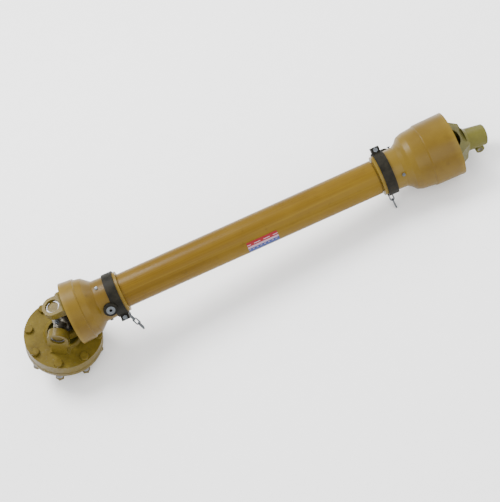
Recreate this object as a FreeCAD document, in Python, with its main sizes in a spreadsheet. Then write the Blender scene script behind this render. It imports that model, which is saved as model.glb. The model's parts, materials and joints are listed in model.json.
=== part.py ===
import FreeCAD, Part
import math
import os
import Sketcher

# Telescopic universal joint shaft with plastic guards, a friction clutch on the implement end and
# a splined yoke on the tractor end.  Millimetres.  The shaft frame has its origin halfway between
# the two joint centres, X along the shaft towards the tractor end and Z up.
V = FreeCAD.Vector
doc = FreeCAD.newDocument("universal_joint_shaft")

DIMENSIONS = {
    # whole shaft
    "half_span": 430.0, "slope_deg": 5.19, "stand_lift": 109.15, "stand_shift_x": 8.4,
    "stand_shift_y": -10.0,
    # pose of the two joints
    "cross_turn_deg": -24.0, "clutch_bend_deg": 73.0, "yoke_droop_deg": 10.0,
    # universal joints
    "ear_outer": 52.0, "ear_inner": 34.0, "ear_half_width": 22.0, "window_start": 8.0,
    "shoulder_start": 20.0, "shoulder_round": 12.0, "edge_round": 3.0,
    "cup_radius": 15.1, "cup_inner_end": 35.0, "cup_end": 46.0, "cup_bore": 10.6,
    "cup_bore_depth": 43.0, "circlip_thick": 2.0, "circlip_bore": 12.0, "circlip_gap": 8.0,
    "trunnion_radius": 10.55, "trunnion_end": 42.6, "cross_body_radius": 15.5, "cross_body_end": 26.0,
    "seal_end": 33.6, "seal_start": 31.0, "seal_radius": 14.0, "seal_bore": 10.6,
    "nipple_reach": 31.0, "nipple_radius": 3.2,
    # inner yokes and drive tubes
    "hub_radius": 30.0, "hub_start": 50.0, "journal_start": 92.0, "journal_end": 100.0,
    "journal_radius": 28.0, "hub_end": 106.0, "tube_seat": 62.0,
    "lobe_offset": 18.0, "outer_lobe": 8.0, "outer_bore_lobe": 5.0, "inner_lobe": 4.7,
    "inner_bore_lobe": 1.2, "outer_tube_end": 240.0, "inner_tube_end": -235.0,
    "roll_pin_radius": 4.2, "roll_pin_bore": 2.6, "roll_pin_place": 76.0,
    # friction clutch, measured from the joint centre along the clutch axis
    "waist_start": 24.0, "waist_narrow": 38.0, "waist_half": 16.0, "spot_depth": 22.0,
    "spot_radius": 9.5, "boss_face": 60.0, "boss_foot": 42.0,
    "flange_face": 66.0, "flange_back": 78.0, "disc_radius": 83.0, "flange_bore": 33.3,
    "lining_inner": 46.0, "lining_outer": 64.0, "lining_thick": 3.2, "drive_plate_thick": 8.0,
    "plate_gap": 0.05, "drive_plate_radius": 65.0, "pressure_plate_thick": 10.0, "pressure_bore": 36.0,
    "spacer_radius": 65.6, "clutch_bolt_circle": 73.0, "clutch_bolt_radius": 5.0, "clutch_bolts": 8,
    "bolt_head_height": 7.0, "bolt_head_flats": 17.0, "spring_length": 16.0, "spring_coil": 8.6,
    "spring_wire": 1.6, "nut_height": 8.0, "bolt_tail": 2.0,
    "clutch_hub_radius": 33.0, "clutch_hub_start": 70.0, "clutch_hub_end": 147.0,
    "clamp_bolt_place": 133.0, "clamp_bolt_offset": 21.5, "clamp_bolt_radius": 6.0,
    # spline of both ends, 1 3/8 inch with six teeth
    "spline_minor": 14.9, "spline_major": 17.5, "spline_half_width": 4.35, "spline_teeth": 6,
    # tractor yoke
    "tractor_hub_start": 58.0, "tractor_hub_radius": 24.0, "tractor_tip_radius": 22.0,
    "tractor_end": 99.0, "release_place": 84.0, "release_offset": 21.0, "release_boss_radius": 9.5,
    "release_boss_half": 20.0, "release_pin_radius": 5.5, "release_pin_reach": 32.0,
    "release_knob_radius": 8.0,
    # guard tubes
    "guard_outer_radius": 36.5, "guard_outer_bore": 33.4, "guard_outer_start": -328.0,
    "guard_outer_end": 284.0, "guard_inner_radius": 33.0, "guard_inner_bore": 30.4,
    "guard_inner_start": -262.0, "guard_inner_end": 326.0,
    # guard bearing rings
    "ring_start": 93.0, "ring_end": 99.0, "ring_bore": 28.06, "ring_radius": 41.0,
    # left bell, measured from the left joint centre towards the shaft
    "left_rim": 24.0, "left_rim_radius": 68.0, "left_skirt_end": 53.0, "left_skirt_radius": 65.5,
    "left_step_radius": 62.5, "left_shoulder": 69.0, "left_shoulder_radius": 59.5,
    "left_neck_start": 86.0, "neck_radius": 45.0, "left_neck_end": 140.0, "neck_tip_radius": 43.5,
    "bell_wall": 3.0, "neck_bore_start": 102.0,
    # right bell, measured from the right joint centre: positive towards the shaft
    "right_rim": 27.0, "right_rim_radius": 68.0, "right_skirt_end": 36.0, "right_step_radius": 65.0,
    "right_shoulder": 65.0, "right_shoulder_radius": 62.0, "right_neck_start": 92.0,
    "right_neck_end": 142.0,
    # collars, measured from the joint centres
    "collar_start": 112.0, "collar_end": 134.0, "right_collar_start": 114.0,
    "right_collar_end": 136.0, "collar_thick": 2.5, "eye_radius": 14.5, "eye_hole": 7.5,
    "eye_thick": 7.0, "eyelet_hole": 3.2, "lug_half": 8.0, "lug_rise": 15.0,
    "collar_bolt_radius": 3.0, "collar_bore_radius": 3.2, "collar_seat_radius": 5.4,
    # safety chains
    "link_wire": 1.5, "link_half_width": 5.5, "link_half_length": 12.0, "link_gap": 0.15,
    "left_links": 4, "right_links": 2, "left_chain_lean_deg": 14.0, "right_chain_lean_deg": 4.0,
    "left_chain_swing_deg": 0.0, "right_chain_swing_deg": -28.0,
    "staple_ring": 6.0, "staple_wire": 1.8, "staple_drop": 48.5, "left_staple_x": -307.0,
    "right_staple_x": 301.0, "staple_turn_deg": -12.0,
    # label
    "label_middle": 17.0, "label_half": 34.0, "label_thick": 0.25, "label_top_deg": 29.0,
    "label_span_deg": 49.0,
}


def make_sheet():
    """Write every driving dimension into the spreadsheet, one aliased cell per row."""
    sheet = doc.addObject("Spreadsheet::Sheet", "Dims")
    for row, (alias, number) in enumerate(DIMENSIONS.items(), start=1):
        sheet.set("A%d" % row, alias.replace("_", " "))
        sheet.set("B%d" % row, str(number))
        sheet.setAlias("B%d" % row, alias)
    doc.recompute()
    return sheet


sheet = make_sheet()


def size(formula):
    """Value of a sum of sheet cells and numbers, such as 'ear_outer - 2'."""
    total = 0.0
    sign = 1.0
    for word in str(formula).split():
        if word in "+-":
            sign = 1.0 if word == "+" else -1.0
        elif word in DIMENSIONS:
            total += sign * float(sheet.get(word))
        else:
            total += sign * float(word)
    return total


def cells(formula):
    """The same sum as a FreeCAD expression on the sheet."""
    words = str(formula).split()
    return " ".join("Dims." + word if word in DIMENSIONS else word for word in words)


# ---------------------------------------------------------------- PartDesign helpers
def new_body(name):
    body = doc.addObject("PartDesign::Body", name)
    body.Label = name
    return body


def plane_of(body, role):
    for feature in body.Origin.OriginFeatures:
        if feature.Role == role:
            return feature
    raise ValueError("no plane " + role)


def new_sketch(body, name, role, offset="0"):
    """A sketch on one of the body's own planes, moved along the plane's normal by offset."""
    sketch = body.newObject("Sketcher::SketchObject", name)
    sketch.AttachmentSupport = [(plane_of(body, role), "")]
    sketch.MapMode = "FlatFace"
    sketch.setExpression("AttachmentOffset.Base.z", cells(offset))
    return sketch


def pin_vertex(sketch, edge, end, across, up):
    """Tie one end of a sketch edge to two sheet formulas."""
    for kind, formula in (("DistanceX", across), ("DistanceY", up)):
        number = sketch.addConstraint(Sketcher.Constraint(kind, -1, 1, edge, end, size(formula)))
        if abs(size(formula)) > 1e-9:
            sketch.setExpression("Constraints[%d]" % number, cells(formula))


def closed_outline(sketch, points):
    """A closed outline of straight edges.  A point written as (x, y, bulge) ends an arc whose
    middle stands 'bulge' away from the chord's middle, to the left of the direction of travel."""
    corners = [V(size(point[0]), size(point[1]), 0) for point in points]
    count = len(points)
    ends = []
    for index, point in enumerate(points):
        start, end = corners[index - 1], corners[index]
        if len(point) == 2:
            ends.append((sketch.addGeometry(Part.LineSegment(start, end), False), 1, 2))
            continue
        chord = end - start
        left = V(-chord.y, chord.x, 0).normalize()
        edge = sketch.addGeometry(Part.Arc(start, (start + end) * 0.5 + left * size(point[2]), end), False)
        forward = (sketch.getPoint(edge, 2) - end).Length < 1e-6
        ends.append((edge, 1, 2) if forward else (edge, 2, 1))
    for index, point in enumerate(points):
        edge, start, end = ends[index]
        after, after_start, after_end = ends[(index + 1) % count]
        sketch.addConstraint(Sketcher.Constraint("Coincident", edge, end, after, after_start))
        pin_vertex(sketch, edge, end, point[0], point[1])
        if len(point) == 3:
            centre = sketch.getPoint(edge, 3)
            sketch.addConstraint(Sketcher.Constraint("DistanceX", -1, 1, edge, 3, centre.x))


def circle(sketch, across, up, radius):
    centre = V(size(across), size(up), 0)
    edge = sketch.addGeometry(Part.Circle(centre, V(0, 0, 1), size(radius)), False)
    number = sketch.addConstraint(Sketcher.Constraint("Radius", edge, size(radius)))
    sketch.setExpression("Constraints[%d]" % number, cells(radius))
    pin_vertex(sketch, edge, 3, across, up)


def check_change(body, before, grows, name):
    """A feature that changes nothing, or the wrong way, stops the build."""
    doc.recompute()
    after = body.Shape.Volume
    if (after - before) * (1 if grows else -1) <= 1e-6:
        raise ValueError("feature %s of %s changed nothing" % (name, body.Label))


def volume(body):
    doc.recompute()
    return 0.0 if body.Shape.isNull() else body.Shape.Volume


def revolve(body, name, points, cut=False, angle="360"):
    """Turn an outline given as (along X, radius) about the body's X axis."""
    before = volume(body)
    sketch = new_sketch(body, name + "_outline", "XY_Plane")
    closed_outline(sketch, points)
    kind = "PartDesign::Groove" if cut else "PartDesign::Revolution"
    feature = body.newObject(kind, name)
    feature.Profile = sketch
    feature.ReferenceAxis = (sketch, ["H_Axis"])
    feature.setExpression("Angle", cells(angle))
    check_change(body, before, not cut, name)
    return feature


def pad(body, sketch, name, length, midplane=False, reverse=False):
    before = volume(body)
    feature = body.newObject("PartDesign::Pad", name)
    feature.Profile = sketch
    feature.setExpression("Length", cells(length))
    feature.SideType = "Symmetric" if midplane else "One side"
    feature.Reversed = reverse
    check_change(body, before, True, name)
    return feature


def pocket(body, sketch, name, midplane=False, reverse=False, length=None):
    before = volume(body)
    feature = body.newObject("PartDesign::Pocket", name)
    feature.Profile = sketch
    if length is None:
        feature.Type = "ThroughAll"
    else:
        feature.setExpression("Length", cells(length))
    feature.SideType = "Symmetric" if midplane else "One side"
    feature.Reversed = reverse
    check_change(body, before, False, name)
    return feature


def polar(body, feature, name, count):
    """Repeat a feature around the body's X axis."""
    before = volume(body)
    pattern = body.newObject("PartDesign::PolarPattern", name)
    pattern.Originals = [feature]
    pattern.Axis = (plane_of(body, "X_Axis"), [""])
    pattern.Angle = 360
    pattern.setExpression("Occurrences", cells(count))
    body.Tip = pattern
    check_change(body, before, False, name)
    return pattern


def soften(body, name, radius, wanted):
    """Fillet the edges of the body's shape for which wanted(edge) is true."""
    doc.recompute()
    tip = body.Tip
    names = ["Edge%d" % (number + 1) for number, edge in enumerate(tip.Shape.Edges) if wanted(edge)]
    feature = body.newObject("PartDesign::Fillet", name)
    feature.Base = (tip, names)
    feature.setExpression("Radius", cells(radius))
    doc.recompute()
    if "Invalid" in feature.State or feature.Shape.isNull() or not feature.Shape.isValid():
        raise ValueError("fillet %s failed on %s" % (name, body.Label))


def ring_edge(along, radius):
    """Test for a circular edge about X at a place along X and with a radius."""
    def wanted(edge):
        curve = edge.Curve
        if not isinstance(curve, Part.Circle):
            return False
        return abs(curve.Center.x - size(along)) < 0.01 and abs(curve.Radius - size(radius)) < 0.01
    return wanted


def any_of(tests):
    return lambda edge: any(test(edge) for test in tests)


# ---------------------------------------------------------------- placements
def frame(origin, x_axis, y_axis):
    """Placement whose local X and Y lie along the given directions."""
    x_axis = V(x_axis).normalize()
    y_axis = V(y_axis).normalize()
    return FreeCAD.Placement(origin, FreeCAD.Rotation(x_axis, y_axis, x_axis.cross(y_axis), "XYZ"))


def turned(angle_deg, axis, vector):
    return FreeCAD.Rotation(axis, angle_deg).multVec(vector)


X, Y, Z = V(1, 0, 0), V(0, 1, 0), V(0, 0, 1)
stand = FreeCAD.Placement(V(size("stand_shift_x"), size("stand_shift_y"), size("stand_lift")),
                          FreeCAD.Rotation(Y, size("slope_deg")))
left_centre = V(-size("half_span"), 0, 0)
right_centre = V(size("half_span"), 0, 0)
left_pin = turned(size("cross_turn_deg"), Z, -Y)
clutch_flat = turned(size("cross_turn_deg"), Z, -X)
bend = math.radians(size("clutch_bend_deg"))
clutch_axis = clutch_flat * math.cos(bend) - Z * math.sin(bend)
tractor_axis = turned(size("yoke_droop_deg"), Y, X)

IN_SHAFT = FreeCAD.Placement()
AT_LEFT = frame(left_centre, X, Z)
AT_RIGHT = frame(right_centre, -X, -Z)
LEFT_AXIS = frame(left_centre, X, Y)
RIGHT_AXIS = frame(right_centre, -X, Y)
AT_CLUTCH = frame(left_centre, clutch_axis, left_pin)
AT_TRACTOR = frame(right_centre, tractor_axis, Y)
LEFT_CROSS = frame(left_centre, left_pin.cross(Z), left_pin)
RIGHT_CROSS = frame(right_centre, X, Y)

nodes = []


def node(item, place):
    """Register a finished sub-part and stand it in its place."""
    item.Placement = stand.multiply(place)
    nodes.append(item)
    return item


def solid_node(name, shape, place):
    """A sub-part whose shape comes straight from Part's functions."""
    item = doc.addObject("Part::Feature", name)
    item.Label = name
    item.Shape = shape
    return node(item, place)


# ---------------------------------------------------------------- universal joints
def fork(name, arms, hub, waist=()):
    """A yoke: two ears along Y about the joint centre, joined to a hub turned about X.  A waist
    outline, seen along the pin axis, takes material off both edges of the arms."""
    body = new_body(name)
    for number, points in enumerate(arms):
        sketch = new_sketch(body, "arm_%d_outline" % number, "XY_Plane")
        closed_outline(sketch, points)
        pad(body, sketch, "arm_%d" % number, "ear_half_width + ear_half_width", midplane=True)
    tips = new_sketch(body, "ear_tips_outline", "XZ_Plane")
    beyond = "0 - ear_half_width - 3"
    closed_outline(tips, [("0", "ear_half_width + 3"), (beyond, "ear_half_width + 3"),
                          (beyond, "0 - ear_half_width - 3"), ("0", "0 - ear_half_width - 3"),
                          ("0", "0 - ear_half_width"), ("0", "ear_half_width", "ear_half_width")])
    pocket(body, tips, "round_ear_tips", midplane=True)
    for number, points in enumerate(waist):
        side = new_sketch(body, "waist_%d_outline" % number, "XZ_Plane")
        closed_outline(side, points)
        pocket(body, side, "waist_%d" % number, midplane=True)
    revolve(body, "hub", hub)
    bores = new_sketch(body, "cup_bores_outline", "XZ_Plane")
    circle(bores, "0", "0", "cup_radius")
    pocket(body, bores, "cup_bores", midplane=True)
    return body


def one_piece_arms(base):
    """Side view of a fork whose window closes in a round crotch, ending flat at 'base' on X."""
    half = "ear_inner"
    end = "0 - ear_half_width - 1"
    return [[(end, half), (end, "ear_outer"), ("shoulder_start", "ear_outer"), (base, "hub_radius"),
             (base, "0 - hub_radius"), ("shoulder_start", "0 - ear_outer"), (end, "0 - ear_outer"),
             (end, "0 - ear_inner"), ("window_start", "0 - ear_inner"),
             ("window_start", half, "0 - ear_inner")]]


def upright_edge(along, across):
    """Test for an edge along Z at a place in the side view."""
    def wanted(edge):
        box = edge.BoundBox
        if box.XLength > 0.01 or box.YLength > 0.01 or box.ZLength < 1:
            return False
        return abs(box.XMin - size(along)) < 0.01 and abs(abs(box.YMin) - size(across)) < 0.01
    return wanted


def trilobe(sketch, lobe):
    """Section of the drive tubes: three round lobes about X joined by flats."""
    radius = size(lobe)
    offset = size("lobe_offset")
    turns = [math.radians(90 + 120 * number) for number in range(3)]
    middles = [V(offset * math.cos(turn), offset * math.sin(turn), 0) for turn in turns]
    reach = math.radians(60)
    arcs = []
    for turn, middle in zip(turns, middles):
        round_end = Part.Circle(middle, V(0, 0, 1), radius)
        edge = sketch.addGeometry(Part.ArcOfCircle(round_end, turn - reach, turn + reach), False)
        number = sketch.addConstraint(Sketcher.Constraint("Radius", edge, radius))
        sketch.setExpression("Constraints[%d]" % number, cells(lobe))
        sketch.addConstraint(Sketcher.Constraint("DistanceX", -1, 1, edge, 3, middle.x))
        sketch.addConstraint(Sketcher.Constraint("DistanceY", -1, 1, edge, 3, middle.y))
        arcs.append(edge)
    for index, edge in enumerate(arcs):
        after = arcs[(index + 1) % 3]
        start = sketch.getPoint(edge, 2)
        end = sketch.getPoint(after, 1)
        flat = sketch.addGeometry(Part.LineSegment(start, end), False)
        sketch.addConstraint(Sketcher.Constraint("Tangent", edge, 2, flat, 1))
        sketch.addConstraint(Sketcher.Constraint("Tangent", flat, 2, after, 1))


def inner_yoke(name, place):
    """Yoke pressed on a drive tube, with the journal groove of the guard's bearing ring."""
    hub = [("hub_start", "0"), ("hub_start", "hub_radius"), ("journal_start", "hub_radius"),
           ("journal_start", "journal_radius"), ("journal_end", "journal_radius"),
           ("journal_end", "hub_radius"), ("hub_end", "hub_radius"), ("hub_end", "0")]
    body = fork(name, one_piece_arms("hub_start + 4"), hub)
    seat = new_sketch(body, "tube_seat_outline", "YZ_Plane", "tube_seat")
    trilobe(seat, "outer_lobe" if name.startswith("left") else "inner_lobe")
    pocket(body, seat, "tube_seat", reverse=True)
    bore = new_sketch(body, "roll_pin_bore_outline", "XZ_Plane")
    circle(bore, "roll_pin_place", "0", "roll_pin_radius")
    pocket(body, bore, "roll_pin_bore", midplane=True)
    soften(body, "shoulders", "shoulder_round", upright_edge("shoulder_start", "ear_outer"))
    return node(body, place)


def drive_tube(name, place, outer, bore, length):
    """Three-lobed drive tube, cross-drilled for its roll pin."""
    body = new_body(name)
    section = new_sketch(body, "section_outline", "YZ_Plane", "tube_seat")
    trilobe(section, outer)
    pad(body, section, "tube", length)
    hollow = new_sketch(body, "hollow_outline", "YZ_Plane", "tube_seat")
    trilobe(hollow, bore)
    pocket(body, hollow, "hollow", reverse=True)
    hole = new_sketch(body, "roll_pin_hole_outline", "XZ_Plane")
    circle(hole, "roll_pin_place", "0", "roll_pin_radius")
    pocket(body, hole, "roll_pin_hole", midplane=True)
    return node(body, place)


def tube_along(name, inner, outer, start, end, place):
    """A ring or a short tube about X, between two places along it."""
    body = new_body(name)
    revolve(body, "wall", [(start, inner), (start, outer), (end, outer), (end, inner)])
    return node(body, place)


def roll_pin(name, place):
    """Slit spring pin through the yoke's hub and the tube."""
    body = new_body(name)
    section = new_sketch(body, "section_outline", "XZ_Plane")
    circle(section, "roll_pin_place", "0", "roll_pin_radius")
    circle(section, "roll_pin_place", "0", "roll_pin_bore")
    pad(body, section, "pin", "hub_radius + hub_radius - 3", midplane=True)
    slit = new_sketch(body, "slit_outline", "XZ_Plane")
    closed_outline(slit, [("roll_pin_place", "0 - 0.6"), ("roll_pin_place", "0.6"),
                          ("roll_pin_place + 9", "0.6"), ("roll_pin_place + 9", "0 - 0.6")])
    pocket(body, slit, "slit", midplane=True)
    return node(body, place)


def cross(name, place):
    """Forged cross: a turned block with four trunnions along Y and Z."""
    block = Part.makeSphere(size("cross_body_radius") + 4)
    arms = [block]
    for direction in (Y, -Y, Z, -Z):
        root = Part.makeCone(size("cross_body_radius"), size("seal_radius") - 1.5,
                             size("cross_body_end"), V(0, 0, 0), direction)
        pin = Part.makeCylinder(size("trunnion_radius"), size("trunnion_end"), V(0, 0, 0), direction)
        arms += [root, pin]
    body = arms[0].fuse(arms[1:]).removeSplitter()
    drilling = Part.makeCylinder(size("nipple_radius"), size("nipple_reach"), V(0, 0, 0), nipple_axis())
    return solid_node(name, body.cut(drilling), place)


def nipple_axis():
    """The grease nipple leans out of the cross between two trunnions."""
    return V(0, 1, 1).normalize()


def grease_nipple(name, place):
    """Grease nipple screwed into the cross: shank, hexagon and round head."""
    axis = nipple_axis()
    reach = size("nipple_reach")
    foot = size("cross_body_radius")
    shank = Part.makeCylinder(size("nipple_radius"), reach - foot - 4, axis * foot, axis)
    corners = [V(5.2 * math.cos(math.radians(60 * k)), 5.2 * math.sin(math.radians(60 * k)), 0)
               for k in range(7)]
    hexagon = Part.Face(Part.makePolygon(corners)).extrude(V(0, 0, 3.5))
    hexagon.Placement = FreeCAD.Placement(axis * (reach - 8.0), FreeCAD.Rotation(Z, axis))
    head = Part.makeSphere(size("nipple_radius"), axis * (reach - 2.5))
    neck = Part.makeCylinder(2.0, 6.0, axis * (reach - 8.0), axis)
    return solid_node(name, shank.fuse([hexagon, neck, head]).removeSplitter(), place)


def cup(name, place, side):
    """Closed needle-bearing cup in an ear, with its thrust face over the trunnion's end."""
    body = new_body(name)
    revolve(body, "shell", [("cup_inner_end", "cup_bore"), ("cup_inner_end", "cup_radius"),
                            ("cup_end", "cup_radius"), ("cup_end", "0"), ("cup_bore_depth", "0"),
                            ("cup_bore_depth", "cup_bore")])
    turn = FreeCAD.Placement(V(0, 0, 0), FreeCAD.Rotation(X, Y * side))
    return node(body, place.multiply(turn))


def circlips(name, place):
    """The pair of retaining rings over the cups of one yoke, each with its gap."""
    rings = []
    for side in (Y, -Y):
        start = side * size("cup_end")
        thick = size("circlip_thick")
        ring = Part.makeCylinder(size("cup_radius"), thick, start, side)
        hole = Part.makeCylinder(size("circlip_bore"), thick, start, side)
        width = size("circlip_gap")
        depth = size("cup_radius")
        gap = Part.makeBox(width, 2 * thick, depth, start - V(width / 2, thick, depth))
        rings.append(ring.cut(hole).cut(gap))
    return solid_node(name, Part.makeCompound(rings), place)


def seals(name, place):
    """Rubber seals at the foot of the four trunnions."""
    rings = []
    for side in (Y, -Y, Z, -Z):
        start = side * size("seal_start")
        thick = size("seal_end") - size("seal_start")
        ring = Part.makeCylinder(size("seal_radius"), thick, start, side)
        rings.append(ring.cut(Part.makeCylinder(size("seal_bore"), thick, start, side)))
    return solid_node(name, Part.makeCompound(rings), place)


def joint_set(side, cross_place, inner_place, outer_place):
    """Cross, seals, nipple, cups and circlips of one universal joint."""
    cross(side + "_cross", cross_place)
    seals(side + "_cross_seals", cross_place)
    grease_nipple(side + "_grease_nipple", cross_place)
    for group, place in (("inner", inner_place), ("outer", outer_place)):
        cup("%s_%s_cup_a" % (side, group), place, 1)
        cup("%s_%s_cup_b" % (side, group), place, -1)
        circlips("%s_%s_circlips" % (side, group), place)


# ---------------------------------------------------------------- friction clutch
def bolt_hole_ring(body, name, radius):
    """Eight holes on the clutch's bolt circle, right through."""
    sketch = new_sketch(body, name + "_outline", "YZ_Plane")
    circle(sketch, "clutch_bolt_circle", "0", radius)
    hole = pocket(body, sketch, name, reverse=True)
    polar(body, hole, name + "_ring", "clutch_bolts")


def flange_yoke():
    """Yoke whose two arms stand on the clutch's flange."""
    end = "0 - ear_half_width - 1"
    near = [(end, "ear_inner"), (end, "ear_outer"), ("shoulder_start", "ear_outer"),
            ("flange_face + 1", "ear_outer - 3"), ("flange_face + 1", "ear_inner")]
    far = [(end, "0 - ear_inner"), ("flange_face + 1", "0 - ear_inner"),
           ("flange_face + 1", "3 - ear_outer"), ("shoulder_start", "0 - ear_outer"),
           (end, "0 - ear_outer")]
    flange = [("boss_face", "flange_bore"),
              ("boss_face", "flange_bore + 4"), ("flange_face", "boss_foot"),
              ("flange_face", "disc_radius"), ("flange_back", "disc_radius"),
              ("flange_back", "flange_bore")]
    waist = []
    for sign in ("", "0 - "):
        waist.append([("waist_start", sign + "ear_half_width"),
                      ("waist_narrow", sign + "waist_half"),
                      ("flange_face - 6", sign + "waist_half"),
                      ("flange_face", sign + "ear_half_width"),
                      ("flange_face", sign + "boss_foot"), ("waist_start", sign + "boss_foot")])
    body = fork("flange_yoke", [near, far], flange, waist)
    bolt_hole_ring(body, "bolt_holes", "clutch_bolt_radius")
    return node(body, AT_CLUTCH)


def clutch_ring(name, start, thick, inner, outer, holes):
    """One flat ring of the clutch pack."""
    body = new_body(name)
    revolve(body, "ring", [(start, inner), (start, outer), (start + " + " + thick, outer),
                           (start + " + " + thick, inner)])
    if holes:
        bolt_hole_ring(body, "bolt_holes", "clutch_bolt_radius")
    return node(body, AT_CLUTCH)


def spline_bore(body):
    """Six-tooth spline bore about X, right through a hub."""
    sketch = new_sketch(body, "spline_minor_outline", "YZ_Plane")
    circle(sketch, "0", "0", "spline_minor")
    pocket(body, sketch, "spline_minor", reverse=True)
    slot = new_sketch(body, "spline_slot_outline", "YZ_Plane")
    closed_outline(slot, [("0", "0 - spline_half_width"), ("spline_major", "0 - spline_half_width"),
                          ("spline_major", "spline_half_width"), ("0", "spline_half_width")])
    tooth = pocket(body, slot, "spline_slot", reverse=True)
    polar(body, tooth, "spline_slots", "spline_teeth")


def clutch_hub():
    """Splined hub with the drive plate that the linings grip."""
    body = new_body("clutch_hub")
    plate = "flange_back + lining_thick + plate_gap"
    plate_end = "flange_back + lining_thick + drive_plate_thick - plate_gap"
    revolve(body, "hub", [("clutch_hub_start", "0"), ("clutch_hub_start", "clutch_hub_radius"),
                          (plate, "clutch_hub_radius"), (plate, "drive_plate_radius"),
                          (plate_end, "drive_plate_radius"), (plate_end, "clutch_hub_radius"),
                          ("clutch_hub_end", "clutch_hub_radius - 2"), ("clutch_hub_end", "0")])
    spline_bore(body)
    hole = new_sketch(body, "clamp_bolt_outline", "XZ_Plane")
    circle(hole, "clamp_bolt_place", "clamp_bolt_offset", "clamp_bolt_radius")
    pocket(body, hole, "clamp_bolt_bore", midplane=True)
    for outward, offset in ((True, "spot_depth"), (False, "0 - spot_depth")):
        name = "spot_face_outer" if outward else "spot_face_inner"
        face = new_sketch(body, name + "_outline", "XZ_Plane", offset)
        circle(face, "clamp_bolt_place", "clamp_bolt_offset", "spot_radius")
        pocket(body, face, name, reverse=outward)
    return node(body, AT_CLUTCH)


def around_clutch(make):
    """Compound of one piece repeated on the bolt circle."""
    count = int(size("clutch_bolts"))
    pieces = []
    for number in range(count):
        piece = make().copy()
        piece.translate(Y * size("clutch_bolt_circle"))
        piece.rotate(V(0, 0, 0), X, 360.0 * number / count)
        pieces.append(piece)
    return Part.makeCompound(pieces)


def hexagon(flats, height, start):
    """Hexagonal prism along X from 'start'."""
    reach = flats / math.sqrt(3)
    corners = [V(start, reach * math.cos(math.radians(60 * k)), reach * math.sin(math.radians(60 * k)))
               for k in range(7)]
    return Part.Face(Part.makePolygon(corners)).extrude(V(height, 0, 0))


def pack_end():
    return (size("flange_back") + 2 * size("lining_thick") + size("drive_plate_thick")
            + size("pressure_plate_thick"))


def clutch_bolt():
    head = hexagon(size("bolt_head_flats"), size("bolt_head_height"),
                   size("flange_face") - size("bolt_head_height"))
    chamfer = Part.makeCone(size("bolt_head_flats") / 2 - 0.5, size("bolt_head_flats") / 2 + 5,
                            6, V(size("flange_face") - size("bolt_head_height"), 0, 0), X)
    head = head.common(chamfer.fuse(Part.makeCylinder(20, 10, V(size("flange_face") - 1.2, 0, 0), X)))
    end = pack_end() + size("spring_length") + size("nut_height") + size("bolt_tail")
    shank = Part.makeCylinder(size("clutch_bolt_radius"), end - size("flange_face"),
                              V(size("flange_face"), 0, 0), X)
    return head.fuse(shank).removeSplitter()


def clutch_nut():
    start = pack_end() + size("spring_length")
    nut = hexagon(size("bolt_head_flats"), size("nut_height"), start)
    return nut.cut(Part.makeCylinder(size("clutch_bolt_radius"), size("nut_height"), V(start, 0, 0), X))


def clutch_spring():
    """Compression spring as three closed coils between the pressure plate and the nut."""
    wire = size("spring_wire")
    coils = []
    turns = 5
    pitch = size("spring_length") / turns
    for number in range(turns):
        place = V(pack_end() + pitch * (number + 0.5), 0, 0)
        coils.append(Part.makeTorus(size("spring_coil") - wire, wire, place, X))
    return coils[0].fuse(coils[1:])


def clutch():
    """Friction clutch around the implement's hub."""
    flange_yoke()
    clutch_ring("clutch_spacer", "flange_back", "lining_thick + drive_plate_thick + lining_thick",
                "spacer_radius", "disc_radius - 0.6", True)
    clutch_ring("front_lining", "flange_back", "lining_thick", "lining_inner", "lining_outer", False)
    clutch_ring("rear_lining", "flange_back + lining_thick + drive_plate_thick", "lining_thick",
                "lining_inner", "lining_outer", False)
    clutch_hub()
    clutch_ring("pressure_plate",
                "flange_back + lining_thick + drive_plate_thick + lining_thick",
                "pressure_plate_thick", "pressure_bore", "disc_radius", True)
    solid_node("clutch_bolts", around_clutch(clutch_bolt), AT_CLUTCH)
    solid_node("clutch_springs", around_clutch(clutch_spring), AT_CLUTCH)
    solid_node("clutch_nuts", around_clutch(clutch_nut), AT_CLUTCH)
    clamp_bolt()


def clamp_bolt():
    """Bolt that locks the clutch hub on the implement's shaft through its groove."""
    place = V(size("clamp_bolt_place"), 0, size("clamp_bolt_offset"))
    reach = size("spot_depth")
    radius = size("clamp_bolt_radius")
    shank = Part.makeCylinder(radius, 2 * reach, place - Y * reach, Y)
    head = Part.makeCylinder(radius + 2.5, 6, place + Y * reach, Y)
    nut = Part.makeCylinder(radius + 2.5, 5, place - Y * (reach + 5), Y)
    shape = shank.fuse([head, nut]).removeSplitter()
    solid_node("clamp_bolt", shape, AT_CLUTCH)


# ---------------------------------------------------------------- tractor yoke
def tractor_yoke():
    """Quick-release yoke of the tractor end."""
    hub = [("hub_start", "0"), ("hub_start", "hub_radius"), ("tractor_hub_start", "tractor_hub_radius"),
           ("tractor_end - 1.5", "tractor_tip_radius"), ("tractor_end", "tractor_tip_radius - 1.5"),
           ("tractor_end", "0")]
    body = fork("tractor_yoke", one_piece_arms("hub_start + 2"), hub)
    boss = new_sketch(body, "release_boss_outline", "XZ_Plane")
    circle(boss, "release_place", "0 - release_offset", "release_boss_radius")
    pad(body, boss, "release_boss", "release_boss_half + release_boss_half", midplane=True)
    spline_bore(body)
    bore = new_sketch(body, "release_bore_outline", "XZ_Plane")
    circle(bore, "release_place", "0 - release_offset", "release_pin_radius + 0.05")
    pocket(body, bore, "release_bore", midplane=True)
    soften(body, "shoulders", "shoulder_round", upright_edge("shoulder_start", "ear_outer"))
    return node(body, AT_TRACTOR)


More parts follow.
